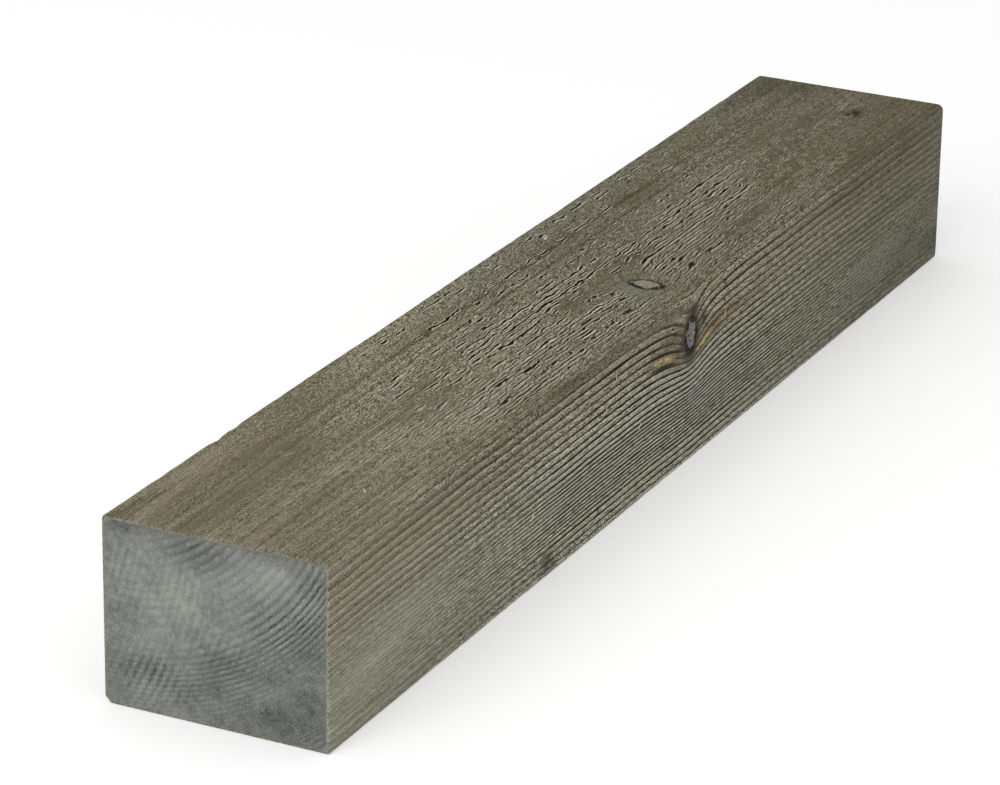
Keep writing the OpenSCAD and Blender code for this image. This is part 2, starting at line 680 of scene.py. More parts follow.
@dataclass(frozen=True)
class EndGrainFinish:
    """Softwood cut across the grain by a coarse saw: duller and bluer than the faces, a felt of cut fibres
    with faint rings, the ripple that the blade left, and browner margins."""

    pale: str = "#a5a7a0"
    dull: str = "#414441"
    late: str = "#363a3b"
    margin: str = "#6d6856"
    felt: Size = (0.5, 0.36, 0.36)
    cluster: Size = (2.4, 1.7, 1.7)
    base_light: float = -0.32
    roughness: float = 0.9
    specular: float = 0.2
    relief: float = 0.7

    def material(self) -> bpy.types.Material:
        """Builds the material: felt, clusters, ripple and clouds lighten or dull the wood; rings darken it.

        Returns:
            The material.
        """
        material, tree, place = new_material("weathered_softwood_end_grain")
        age, strength, ripple = painted(tree, "growth")
        tone, margin, dirt_and_shade = painted(tree, "weather_and_light")
        felt = grain_noise(tree, place, self.felt, 2.0)
        cluster = grain_noise(tree, place, self.cluster, 3.0)
        light = weighted(tree, self.base_light, ((felt, 0.85), (cluster, 0.75), (ripple, 0.16), (tone, 1.0)))
        frayed = weighted(tree, age, ((cluster, 0.55), (felt, 0.35)))
        season = add_node(tree, MATH, {0: frayed}, operation="FRACT")
        dark = add_node(tree, COLOUR_RAMP, {0: season}, stops=(
            (0.0, 0.3), (1.0, 0.3), (0.12, 0.0), (0.40, 0.05), (0.72, 0.9), (0.88, 1.0)))
        line = times(tree, times(tree, dark, strength), ranged(tree, cluster, 0.36, 0.60, 0.45, 1.2))
        colour = layered(tree, self.dull, (
            (light, self.pale), (line, self.late), (margin, self.margin), (dirt_and_shade, self.late)))
        height = weighted(tree, 0.0, ((felt, 0.14), (cluster, 0.14), (line, -0.06)))
        shaded(tree, {"Base Color": colour, "Roughness": self.roughness, "Specular IOR Level": self.specular},
               height, self.relief)
        return material


@dataclass(frozen=True)
class SplinterFinish:
    """Freshly lifted softwood fibre: paler and cleaner than the weathered face that it came from."""

    pale: str = "#e6dfcc"
    shade: str = "#b3ab97"
    fibre: Size = (1.2, 0.2, 0.2)
    roughness: float = 0.8
    specular: float = 0.25

    def material(self) -> bpy.types.Material:
        """Builds the material: fine fibre noise between the two colours.

        Returns:
            The material.
        """
        material, tree, place = new_material("lifted_softwood_fibre")
        light = ranged(tree, grain_noise(tree, place, self.fibre, 2.0), 0.3, 0.7)
        colour = layered(tree, self.shade, [(light, self.pale)])
        shaded(tree, {"Base Color": colour, "Roughness": self.roughness, "Specular IOR Level": self.specular})
        return material


@dataclass(frozen=True)
class PaperFinish:
    """Matt white background paper: it shows the soft shadow and is otherwise white to the camera."""

    white: str = "#f4f4f4"
    lift: float = 0.25

    def material(self) -> bpy.types.Material:
        """Builds the material: plain diffuse paper, with a little glow in direct views and mirrors alone.

        Returns:
            The material.
        """
        material, tree, _ = new_material("white_paper")
        glow = times(tree, seen_directly(tree), self.lift)
        shaded(tree, {"Base Color": linear(self.white), "Roughness": 1.0, "Specular IOR Level": 0.0,
                      "Emission Color": (1, 1, 1, 1), "Emission Strength": glow})
        return material


@dataclass(frozen=True)
class Branch:
    """The dead branch that left one knot on two faces: a slim cone that passes through both."""

    place_x: float = 7.0
    upper_middle: Pair = (-13.9, 40.0)
    side_middle: Pair = (-25.0, 30.0)
    radius: float = 2.85
    point: float = 1.7
    bulge: float = 2.6
    bulge_before: float = 14.0
    bulge_after: float = 10.0
    bulge_breadth: float = 11.0
    collar: float = 0.5
    collar_reach: float = 5.0

    def local(self, points: Array) -> tuple[Array, Array, Array]:
        """Splits a place into reach past the upper knot, and offsets along the grain and round the rings.

        Args:
            points: Places in millimetres.

        Returns:
            The reach along the branch, the offset along X, and the offset round the rings.
        """
        axis = np.array(self.side_middle) - np.array(self.upper_middle)
        axis = axis / np.hypot(*axis)
        offset = points[..., 1:] - np.array(self.upper_middle)
        return offset @ axis, points[..., 0] - self.place_x, offset @ np.array([axis[1], -axis[0]])

    def distance(self, points: Array) -> Array:
        """Distance from the branch's axis in its own radii, on a rounded lozenge: (|u|^p + |v|^p)^(1/p).

        Args:
            points: Places in millimetres.

        Returns:
            The distance, 1 at the rim.
        """
        _, run, beside = self.local(points)
        return (np.abs(run) ** self.point + np.abs(beside) ** self.point) ** (1 / self.point) / self.radius

    def swell(self, points: Array) -> Array:
        """How far the rings are pushed out: a wide bulge / (1 + u^2 + v^2)^1.5, longer before the branch
        than after it, with a bell close to the branch for its collar. Both grow on s-curves as the branch
        does.

        Args:
            points: Places in millimetres.

        Returns:
            The push away from the pith, in millimetres.
        """
        reach, run, beside = self.local(points)
        span = np.where(run < 0, self.bulge_before, self.bulge_after)
        wide = self.bulge / (1 + (run / span) ** 2 + (beside / self.bulge_breadth) ** 2) ** 1.5
        close = self.collar * np.exp(-(run ** 2 + beside ** 2) / self.collar_reach ** 2)
        return wide * smoothstep(-14, 4, reach) + close * smoothstep(0, 10, reach)


@dataclass(frozen=True)
class GrowthRings:
    """The yearly rings: cylinders round a bowed pith above the section, pushed out where the branch is."""

    pith: Pair = (20.8, 62.0)
    bow: float = 4.7e-5
    bow_middle: float = -10.0
    branch: Branch = Branch()
    inner: float = 12.0
    outer: float = 100.0
    step: float = 0.02
    young_width: float = 1.75
    usual_width: float = 1.035
    poor_width: float = 0.677
    last_width: float = 1.168
    young_years: Pair = (48.5, 52.5)
    poor_years: tuple[float, float, float, float] = (61.0, 64.7, 71.4, 72.6)
    line_radius: float = 58.1
    line_season: float = 0.86
    seed: int = 11

    def width(self, radius: Array) -> Array:
        """Ring width by radius: wide while the tree was young, then usual, then a run of poor years, then
        better ones, each passing into the next on an s-curve, with a little chance in every year.

        Args:
            radius: Distance from the pith in millimetres.

        Returns:
            The width of a ring there, in millimetres.
        """
        young = (self.young_width - self.usual_width) * smoothstep(*self.young_years[::-1], radius)
        starts, full, eases, ends = self.poor_years
        after = smoothstep(eases, ends, radius)
        poor = (self.poor_width - self.usual_width) * smoothstep(starts, full, radius) * (1 - after)
        last = (self.last_width - self.usual_width) * after
        line = np.stack([radius, 0 * radius, 0 * radius], axis=-1)
        chance = 0.07 * cell_noise(line, (1.7, 1, 1), self.seed)
        return (self.usual_width + young + poor + last) * (1 + chance)

    def bulged(self, points: Array) -> Array:
        """Radius from the pith, which bows down to both ends, less the branch's swell, with a slow sway.

        Args:
            points: Places in millimetres.

        Returns:
            The radius of the undisturbed ring that each place belongs to.
        """
        sunk = self.pith[1] - self.bow * (points[..., 0] - self.bow_middle) ** 2
        radius = np.hypot(points[..., 1] - self.pith[0], points[..., 2] - sunk)
        slow = 0.10 * cell_noise(points, (58, 24, 24), self.seed + 1)
        quick = 0.07 * cell_noise(points, (14, 9, 9), self.seed + 2)
        return radius - self.branch.swell(points) + (slow + quick)

    def age(self, points: Array) -> Array:
        """Rings counted from the pith: the running sum of steps over ring widths, read at the bulged radius
        and shifted so that one dark line lies at a known radius.

        Args:
            points: Places in millimetres.

        Returns:
            The count; its fraction is the season of the year.
        """
        radii = np.arange(self.inner, self.outer, self.step)
        count = np.cumsum(self.step / self.width(radii))
        at_line = np.interp(self.line_radius, radii, count)
        count += np.ceil(at_line) + self.line_season - at_line
        return np.interp(self.bulged(points), radii, count)


class Outline(NamedTuple):
    """The section's outline as arrays: places, outward normals, and each point's share of the way round."""

    y: Array
    z: Array
    normal_y: Array
    normal_z: Array
    spread: Array


@dataclass(frozen=True)
class SawnSection:
    """The timber's cross-section: four sawn faces and four arrises, each worn in its own way."""

    width: float
    height: float
    knot_upper_radius: float = 1.6
    knot_lower_radius: float = 0.5
    plain_upper_radius: float = 0.8
    plain_lower_chamfer: float = 1.3
    fine_pitch: float = 0.26
    plain_pitch: float = 0.9
    lower_pitch: float = 2.0
    arris_pitch: float = 0.3

    def straight(self, start: Sequence[float], stop: Sequence[float], pitch: float) -> Array:
        """A straight stretch, without its last point; the normal is the direction turned by a right angle.

        Args:
            start: First y and z.
            stop: Last y and z.
            pitch: About how far apart the points lie.

        Returns:
            Rows of y, z, normal y and normal z.
        """
        begin, end = np.array(start, float), np.array(stop, float)
        length = np.hypot(*(end - begin))
        count = max(1, round(length / pitch))
        share = np.arange(count)[:, None] / count
        direction = (end - begin) / length
        normal = np.array([-direction[1], direction[0]])
        return np.hstack([begin + share * (end - begin), np.tile(normal, (count, 1))])

    def rounded(self, centre: Sequence[float], radius: float, first: float) -> Array:
        """A quarter circle walked clockwise from its first angle, without its last point.

        Args:
            centre: The circle's y and z.
            radius: Its radius.
            first: The angle in degrees of its first point, from +Y towards +Z.

        Returns:
            Rows of y, z, normal y and normal z.
        """
        count = max(3, round(radius * math.pi / 2 / self.arris_pitch))
        angle = np.radians(first - 90 * np.arange(count) / count)
        normal = np.stack([np.cos(angle), np.sin(angle)], axis=1)
        return np.hstack([np.array(centre) + radius * normal, normal])

    def outline(self) -> Outline:
        """Walks the section: lower face, knot side, upper face, plain side, with the arris after each.

        Returns:
            The closed outline; the spread has one more number than the places, for the seam.
        """
        half, top = self.width / 2, self.height
        low, high = self.knot_lower_radius, self.knot_upper_radius
        worn, cut = self.plain_upper_radius, self.plain_lower_chamfer
        walk = [
            self.straight((half - cut, 0), (low - half, 0), self.lower_pitch),
            self.rounded((low - half, low), low, 270),
            self.straight((-half, low), (-half, top - high), self.fine_pitch),
            self.rounded((high - half, top - high), high, 180),
            self.straight((high - half, top), (half - worn, top), self.fine_pitch),
            self.rounded((half - worn, top - worn), worn, 90),
            self.straight((half, top - worn), (half, cut), self.plain_pitch),
            self.straight((half, cut), (half - cut, 0), self.arris_pitch),
        ]
        rows = np.vstack(walk)
        ring = np.vstack([rows[:, :2], rows[:1, :2]])
        spread = np.concatenate([[0], np.cumsum(np.hypot(*np.diff(ring, axis=0).T))])
        return Outline(*rows.T, spread / spread[-1])


@dataclass(frozen=True)
class TornGrain:
    """Fibres that the saw tore out of the upper face: short dashes along the grain, each with a lip, and dark
    inside them that is torn fibre and painted shadow.
    """

    count: int = 50
    shortest: float = 2.5
    usual_length: float = 5.0
    longest: float = 14.0
    half_width: float = 0.26
    deepest: float = 0.30
    lip_offset: float = 0.42
    lip_height: float = 0.06
    seed: int = 5

    def cut(self, along: Array, lane: Array, wear: Array) -> tuple[Array, Array, Array]:
        """Sums the dashes: each is a bell across the grain and a flat-topped bell along it.

        Args:
            along: Place along X of each row.
            lane: Place across the grain at each row and column of the upper face.
            wear: How torn the face is at each row and column, which picks the dashes that stay.

        Returns:
            The depth and the lip height in millimetres, and the mask of dark torn fibre and painted shadow in
            the dents, by row and column.
        """
        rng = np.random.default_rng(self.seed)
        depth, lit_lip, dark = np.zeros_like(lane), np.zeros_like(lane), np.zeros_like(lane)
        kept = 0
        while kept < self.count:
            row, column = rng.integers(lane.shape[0]), rng.integers(lane.shape[1])
            chance, strength = rng.random(2)
            length = np.clip(rng.lognormal(math.log(self.usual_length), 0.55), self.shortest, self.longest)
            if chance > wear[row, column]:
                continue
            kept += 1
            run = along - along[row]
            near = np.flatnonzero(np.abs(run) < length)
            beside = lane[near] - lane[row, column]
            reach = bell(run[near, None], 0, length / 2, 4)
            dent = reach * bell(beside, 0, self.half_width)
            edge = reach * bell(beside, self.lip_offset, self.half_width)
            size = 0.4 + 0.6 * strength
            parts = (self.deepest * size * dent, self.lip_height * size * edge,
                     np.minimum(0.6 * size * dent, 0.4))
            for whole, part in zip((depth, lit_lip, dark), parts):
                whole[near] = np.maximum(whole[near], part)
        return depth, lit_lip, dark


@dataclass
class TimberSkin:
    """The timber's whole visible surface: long faces as one grid, closed by two sawn ends."""

    length: float
    section: SawnSection
    rings: GrowthRings = GrowthRings()
    tears: TornGrain = TornGrain()
    near_radius: float = 0.4
    far_radius: float = 1.3
    usual_pitch: float = 1.75
    knot_pitch: float = 0.95
    nick_pitch: float = 0.9
    near_mesh: float = 0.5
    far_mesh: float = 1.1
    nick_places: Pair = (44.0, 51.4)
    nick_lengths: Pair = (5.2, 4.2)
    nick_depths: Pair = (0.45, 0.3)
    resin_radius: float = 56.5
    resin_half: float = 0.7
    sharpest: float = 145.0
    sharp_angle: float = 38.0
    wave_height: float = 0.05
    fuzz_height: float = 0.03
    late_wood_depth: float = 0.03
    knot_height: float = 0.10
    knot_groove: float = 0.20
    bruise_depth: float = 0.09
    ripple_height: float = 0.045
    felt_height: float = 0.05
    hollow_height: float = 0.07
    end_depth: float = 0.08
    stains: tuple[Mark, ...] = (
        Mark(Face.UPPER, 301.6, 33, 3.0, 1.5, 0.8),
        Mark(Face.KNOT_SIDE, 95.2, 37, 3.0, 2.2, 0.7),
        Mark(Face.KNOT_SIDE, 53.6, 12.5, 0.9, 0.7, 0.6),
        Mark(Face.KNOT_SIDE, 63.2, 21.3, 0.9, 0.7, 0.6),
        Mark(Face.KNOT_SIDE, 168.9, 4.3, 3.0, 1.2, 0.65),
        Mark(Face.KNOT_SIDE, 173.8, 8.2, 2.0, 1.8, 0.75),
        Mark(Face.KNOT_SIDE, 161.1, 11.7, 3.2, 1.8, 0.65),
        Mark(Face.KNOT_SIDE, 166.3, 14.3, 2.5, 0.9, 0.65),
        Mark(Face.KNOT_SIDE, 157.5, 7.5, 6.5, 3.4, 0.42),
        Mark(Face.KNOT_SIDE, 75.0, 10.0, 25.0, 3.0, 0.10),
    )
    browns: tuple[Mark, ...] = (
        Mark(Face.UPPER, 30, 8, 45, 8, 0.36),
        Mark(Face.UPPER, 186, 28.5, 14, 4.5, 0.95),
        Mark(Face.UPPER, 211, 41, 14, 5, 0.6),
        Mark(Face.UPPER, 147, 29, 8, 4, 0.6),
        Mark(Face.UPPER, 120, 40, 14, 4, 0.5),
        Mark(Face.UPPER, 122, 9, 18, 3, 0.4),
        Mark(Face.UPPER, 172, 5, 9, 3, 0.4),
        Mark(Face.UPPER, 118, 49, 45, 1.2, 0.2),
        Mark(Face.KNOT_SIDE, 62, 6.5, 28, 2.5, 0.4),
        Mark(Face.KNOT_SIDE, 138, 9.5, 20, 3.5, 0.45),
        Mark(Face.KNOT_SIDE, 153, 9.0, 8, 2.5, 0.5),
        Mark(Face.KNOT_SIDE, 180, 11.0, 9, 2.2, 0.75),
        Mark(Face.KNOT_SIDE, 205, 11.5, 28, 2.0, 0.45),
        Mark(Face.UPPER, 295, 45, 26, 6, 0.6),
        Mark(Face.UPPER, 253, 39, 22, 7, 0.55),
    )
    # Painted sheen: a pale bluish sheen of light in two patches on the knot side.
    sheen_patches: tuple[Mark, ...] = (
        Mark(Face.KNOT_SIDE, 125, 24, 45, 9, 0.45),
        Mark(Face.KNOT_SIDE, 178, 24, 25, 6, 0.35),
    )
    blade: Pair = (118.0, 58.0)
    blade_pitch: float = 1.7
    near_tones: tuple[Cloud, ...] = (
        Cloud(15, 15, 16, 8, 0.18),
        Cloud(34, 8, 8, 5, 0.22),
        Cloud(3, 0, 14, 4, -0.18),
        Cloud(40, 35, 20, 14, -0.17),
        Cloud(2, 24, 5, 20, -0.06),
    )
    near_rings: tuple[Cloud, ...] = (
        Cloud(47, 8, 5, 10, 0.72),
        Cloud(39, 16, 8, 6, 0.72),
        Cloud(21, 3, 8, 4, 0.55),
        Cloud(47, 37, 6, 5, 0.45),
        Cloud(28, 27, 9, 5, 0.60),
        Cloud(18, 33, 6, 3, 0.35),
        Cloud(6, 32, 8, 5, 0.22),
    )
    near_ripples: tuple[Cloud, ...] = (
        Cloud(11, 32, 7, 5, 1.6),
        Cloud(16, 11, 6, 4, 0.7),
        Cloud(20, 21, 6, 4, 0.6),
    )

    def build(self) -> bpy.types.Object:
        """Works out the surface, makes the mesh with its attributes and bake map, and dresses it.

        Returns:
            The skin's object.
        """
        outline = self.section.outline()
        x, inset = self.rows()
        points, normals = self.long_faces(outline, x, inset)
        paint = self.paint_long(points, normals)
        worn = paint["damage_and_light"][..., 2] * smoothstep(15, 100, points[..., 0] + self.length / 2)
        off_knot = smoothstep(1.1, 1.7, paint["branch"][..., 0])
        depth, lit_lip, dark = (part * off_knot for part in self.torn_upper(
            points, normals, paint["surface"][..., 2], worn))
        # The dents' dark: torn fibre and painted shadow in them.
        paint["damage_and_light"][..., 0] += dark
        # A painted highlight on the dents' raised lips.
        paint["damage_and_light"][..., 1] = np.clip(lit_lip / self.tears.lip_height, 0, 1) * 0.15
        relief = self.relief(points, normals, paint) + lit_lip - depth
        moved = self.nicked(points + normals * relief[..., None])
        moved[..., 2] = np.maximum(moved[..., 2], 0)
        return self.assemble(outline, moved, paint)

    def rows(self) -> tuple[Array, Array]:
        """Places along X, closer where the knot and the nicks are, with quarter-round rows at both ends.

        The count of rows grows by one over the pitch along the way; an end's rows lie at r(1 - cos t) from
        the end with the section drawn in by r(1 - sin t).

        Returns:
            Each row's place along X and how far the section is drawn in there.
        """
        half = self.length / 2
        fine = np.linspace(self.near_radius - half, half - self.far_radius, 6000)
        density = np.full(fine.shape, 1 / self.usual_pitch)
        knot, nicks = self.rings.branch.place_x, sum(self.nick_places) / 2 - half
        for place, pitch, reach in ((knot, self.knot_pitch, 14), (nicks, self.nick_pitch, 7)):
            density += (1 / pitch - 1 / self.usual_pitch) * bell(fine, place, reach)
        count = np.concatenate([[0], np.cumsum(density[1:] * np.diff(fine))])
        body = np.interp(np.linspace(0, count[-1], round(count[-1]) + 1), count, fine)
        turn_near, turn_far = np.radians([0, 30, 60]), np.radians([65, 40, 20, 0])
        x = np.concatenate([-half + self.near_radius * (1 - np.cos(turn_near)), body,
                            half - self.far_radius * (1 - np.cos(turn_far))])
        inset = np.concatenate([self.near_radius * (1 - np.sin(turn_near)), 0 * body,
                                self.far_radius * (1 - np.sin(turn_far))])
        return x, inset

    def long_faces(self, outline: Outline, x: Array, inset: Array) -> tuple[Array, Array]:
        """The grid of the long faces: at each row the outline, scaled about its middle by the inset.

        Args:
            outline: The section's outline.
            x: Each row's place along X.
            inset: How far the section is drawn in at each row.

        Returns:
            Points and outward normals by row and column.
        """
        middle = self.section.height / 2
        scale_y = 1 - inset[:, None] / (self.section.width / 2)
        scale_z = 1 - inset[:, None] / middle
        points = np.empty((x.size, outline.y.size, 3))
        points[..., 0] = x[:, None]
        points[..., 1] = outline.y * scale_y
        points[..., 2] = middle + (outline.z - middle) * scale_z
        normals = np.zeros_like(points)
        normals[..., 1] = outline.normal_y
        normals[..., 2] = outline.normal_z
        return points, normals

    def facing(self, normals: Array) -> Shares:
        """How much each point belongs to each long face: the squared cosine between their normals."""
        return {face: np.clip(normals[..., 1:] @ np.array(face.value), 0, 1) ** 2 for face in Face}

    def offsets(self, points: Array) -> tuple[Array, Array, Array]:
        """Distances from the near end, from the plain side and below the upper face, in millimetres."""
        x, y, z = np.moveaxis(points, -1, 0)
        return x + self.length / 2, self.section.width / 2 - y, self.section.height - z

    def marked(self, points: Array, share: Shares, marks: Sequence[Mark]) -> Array:
        """Sums soft spots: a bell of each mark's size at its place, on its own face.

        Args:
            points: Places in millimetres.
            share: How much each point belongs to each face.
            marks: The marks.

        Returns:
            The mask, from 0 up.
        """
        total = np.zeros(points.shape[:-1])
        along, from_plain, from_top = self.offsets(points)
        for mark in marks:
            across = from_plain if mark.face is Face.UPPER else from_top
            spot = bell(along, mark.along, mark.length) * bell(across, mark.across, mark.breadth)
            total += share[mark.face] * mark.strength * spot
        return total

    def paint_long(self, points: Array, normals: Array) -> dict[str, Array]:
        """Works out the attributes that the long-grain finish reads.

        Args:
            points: Places in millimetres.
            normals: Outward normals.

        Returns:
            growth holds rings counted, their clearness, and 1 on the knot side; weather_and_light holds
            brown, bloom with a painted sheen, and dirt with painted shade; damage_and_light holds the dark of
            torn fibre and resin brinks, with painted shadow in the tears, a painted highlight on the dents'
            lips, and wear;
            branch holds distance from the knot in radii, resin and green; surface holds how rough the fibres
            stand, most about the middle of the length, the rings' width, less where their lines are broad and
            soft, and the place across the grain.
        """
        share = self.facing(normals)
        resin, brink = self.resin(points)
        arris = self.smooth_arris(points)
        clearness = self.ring_clearness(points, share) * (1 - 0.8 * arris) * (1 - 0.65 * resin)
        off = self.offsets(points)[0] - self.sharpest
        rough = 0.15 + 0.09 * smoothstep(-40, 60, off) + bell(off, 0, np.where(off < 0, 64, 90))
        width = self.rings.width(self.rings.bulged(points))
        soft = np.minimum(width, 1) ** 0.35
        soft *= 1 + 0.5 * smoothstep(0.8, 1.2, width) * smoothstep(0.9, 0.2, rough)
        brown, bloom_and_sheen, dirt_and_shade = (np.clip(tint, 0, 1) for tint in self.weathering_and_light(points, share))
        green = smoothstep(-0.2, 0.7, cell_noise(points, (40, 7, 7), Seed.GREEN, 2))
        parts = {
            "growth": (self.rings.age(points), clearness, share[Face.KNOT_SIDE]),
            "weather_and_light": (brown, bloom_and_sheen, np.clip(dirt_and_shade + 0.35 * arris, 0, 1)),
            "damage_and_light": (0.95 * brink, 0 * off, self.wear(points, share)),
            "branch": (self.rings.branch.distance(points), resin, share[Face.UPPER] * (0.25 + 0.35 * green)),
            "surface": (rough * (1 - 0.6 * arris), width / soft, self.lanes(points, share)),
        }
        return {name: np.stack(parts[name], axis=-1) for name in ATTRIBUTES}

    def wear(self, points: Array, share: Shares) -> Array:
        """How torn the fibres are: most on the upper face past its first strip, and on the side just before
        the knot; less at the face's margins and towards both ends; in patches, and not at a knot.

        Args:
            points: Places in millimetres.
            share: How much each point belongs to each face.

        Returns:
            The wear, from 0 to about 1.
        """
        along, from_plain, from_top = self.offsets(points)
        strip = smoothstep(12, 19, from_plain)
        on_upper = 0.85 * strip + (0.15 + 0.4 * smoothstep(80, 120, along)) * (1 - strip)
        on_upper += 0.07 * bell(along, 138, 45)
        on_upper *= smoothstep(1, 3, from_plain) * smoothstep(49.5, 46, from_plain)
        on_side = 0.03 + 0.5 * bell(along, 157, 7) * bell(from_top, 7, 4)
        wear = (on_upper * share[Face.UPPER] + on_side * share[Face.KNOT_SIDE]
                + 0.2 * share[Face.PLAIN_SIDE] + 0.3 * share[Face.LOWER])
        wear *= (0.6 + 0.4 * smoothstep(10, 80, along)) * (1 - 0.4 * smoothstep(230, 300, along))
        wear *= 0.75 + 0.35 * smoothstep(-0.4, 0.5, cell_noise(points, (34, 6, 6), Seed.WEAR, 2))
        return wear * smoothstep(1.5, 3.4, self.rings.branch.distance(points)) * smoothstep(319, 311, along)

    def smooth_arris(self, points: Array) -> Array:
        """The stretch of the knot side's upper arris that was rubbed smooth: a bell before the knot.

        Args:
            points: Places in millimetres.

        Returns:
            The mask, from 0 to 1.
        """
        along, from_plain, from_top = self.offsets(points)
        middle = 0.4 + 1.6 * smoothstep(100, 165, along)
        on_arris = bell(from_plain - self.section.width + from_top, middle, 1.5, 4)
        stretch = smoothstep(60, 105, along) * smoothstep(172, 158, along)
        return on_arris * stretch * (from_plain > self.section.width / 2)

    def lanes(self, points: Array, share: Shares) -> Array:
        """Place across the grain: walked round from the plain side, less the branch's swell, and bent round
        the upper knot by A tanh(v / 2) times a bell about it.

        Args:
            points: Places in millimetres.
            share: How much each point belongs to each face.

        Returns:
            The place in millimetres.
        """
        _, run, beside = self.rings.branch.local(points)
        bend = 1.5 * np.tanh(beside / 2) * bell(run, 0, 8) * bell(beside, 0, 6) * share[Face.UPPER]
        _, from_plain, from_top = self.offsets(points)
        return from_plain + from_top - self.rings.branch.swell(points) + bend

    def ring_clearness(self, points: Array, share: Shares) -> Array:
        """How clearly the rings show: most on the knot side, least in the torn middle of the upper face,
        and less towards both ends, where the narrow rings low on the sides are worn away.

        Args:
            points: Places in millimetres.
            share: How much each point belongs to each face.

        Returns:
            The clearness, from 0 to about 1.
        """
        along, from_plain, from_top = self.offsets(points)
        before = along < self.sharpest
        low = smoothstep(13, 21, from_top)
        beside_knot = bell(along, 158, 7) * bell(from_top, 8, 5)
        on_knot_side = (1.15 + 0.5 * low * smoothstep(38, 34, from_top)) * (1 - 0.4 * beside_knot)
        on_upper = 0.5 - 0.23 * smoothstep(15, 20, from_plain) + 0.45 * smoothstep(36, 46, from_plain)
        least = np.where(before, 0.30 - 0.22 * low, 0.25 - 0.17 * low)
        fading = least + (1 - least) * bell(along, self.sharpest, np.where(before, 78 - 8 * low, 100))
        return fading * (share[Face.KNOT_SIDE] * on_knot_side + share[Face.UPPER] * on_upper
                         + 0.85 * share[Face.PLAIN_SIDE] + 0.55 * share[Face.LOWER])

    def weathering_and_light(self, points: Array, share: Shares) -> tuple[Array, Array, Array]:
        """Brown water stain in bands along the grain, grey bloom in patches with a painted sheen in two
        patches on the knot side, and dirt with painted shade, darker about the middle of the upper face and
        most to the far end.

        Args:
            points: Places in millimetres.
            share: How much each point belongs to each face.

        Returns:
            The masks of brown, of bloom with its painted sheen, and of dirt with its painted shade.
        """
        along, _, from_top = self.offsets(points)
        _, run, beside = self.rings.branch.local(points)
        upper, knot_side = share[Face.UPPER], share[Face.KNOT_SIDE]
        brown = 0.06 + 0.22 * smoothstep(0.0, 0.9, cell_noise(points, (75, 4, 4), Seed.BANDS, 2))
        brown += 0.10 * knot_side * smoothstep(14, 3, from_top) + self.marked(points, share, self.browns)
        brown *= 1 - 0.6 * knot_side * smoothstep(13, 20, from_top)
        bloom_and_sheen = 0.22 * smoothstep(0.2, 1.0, cell_noise(points, (60, 12, 12), Seed.BLOOM, 2))
        bloom_and_sheen += 0.75 * bell(run, -3, 6) * bell(beside, -1, 3.6) * upper
        # The sheen patches add a painted bluish sheen of light on the knot side.
        bloom_and_sheen += self.marked(points, share, self.sheen_patches)
        # Dirt with painted shade: the upper face darker about the middle of its length, all faces darker
        # towards the far end, and the knot side darker near its top; the blotches are dirt.
        dirt_and_shade = upper * (0.08 + 0.08 * smoothstep(40, 130, along) + 0.25 * bell(along, 176, 62))
        dirt_and_shade += knot_side * (0.18 * smoothstep(160, 300, along) + 0.12 * smoothstep(16, 6, from_top))
        blotches = smoothstep(0.0, 0.8, cell_noise(points, (22, 6, 6), Seed.BLOTCHES, 2))
        dirt_and_shade += 0.20 * smoothstep(150, 310, along) + 0.20 * smoothstep(250, 330, along) * blotches
        return brown, bloom_and_sheen, dirt_and_shade + self.marked(points, share, self.stains)

    def resin(self, points: Array) -> tuple[Array, Array]:
        """Resin that bled along one ring of the knot side: a long lens before the knot, then a band about
        that ring that fades past it, both with dark brinks.

        Args:
            points: Places in millimetres.

        Returns:
            The mask of the resin and that of its dark brinks, from 0 to 1.
        """
        _, run, _ = self.rings.branch.local(points)
        off_ring = self.rings.bulged(points) - self.resin_radius
        off_lens = np.abs(off_ring + 0.75)
        half = self.resin_half * (1 + 0.12 * smoothstep(0, 5, run))
        band = bell(off_ring, 0.8 * smoothstep(-3, -9, run), half)
        flow = np.maximum(0.92 * bell(run, 6, 9), 0.55 * smoothstep(-16, -8, run) * smoothstep(44, 10, run))
        lens = np.exp(-(((run + 14) / 8) ** 2 + (off_lens / 0.66) ** 2) ** 2)
        lens_brink = bell(run, -14, 8, 4) * bell(off_lens, 0.88, 0.22 + 0.20 * (off_ring > -0.75))
        band_brink = 0.75 * bell(np.abs(off_ring), 0.85, 0.22) * bell(run, 5, 11)
        on_side = smoothstep(38.5, 36.5, points[..., 2]) * (points[..., 1] < 0)
        return (np.clip(np.maximum(band * flow, lens), 0, 1) * on_side,
                np.maximum(lens_brink, band_brink) * on_side)

    def torn_upper(self, points: Array, normals: Array, lane: Array, wear: Array) -> tuple[Array, ...]:
        """Tears on the upper face, laid along the grain there.

        Args:
            points: Places in millimetres.
            normals: Outward normals.
            lane: Place across the grain.
            wear: How torn the surface is.

        Returns:
            Depth, lip height and dark mask for the whole grid, zero off the upper face.
        """
        flat = np.flatnonzero(normals[0, :, 2] > 0.999)
        jagged = lane[:, flat] + 0.2 * cell_noise(points[:, flat], (9.0, 2.0, 2.0), Seed.JAG)
        whole = np.zeros((3, *points.shape[:2]))
        whole[:, :, flat] = self.tears.cut(points[:, 0, 0], jagged, wear[:, flat])
        return tuple(whole)

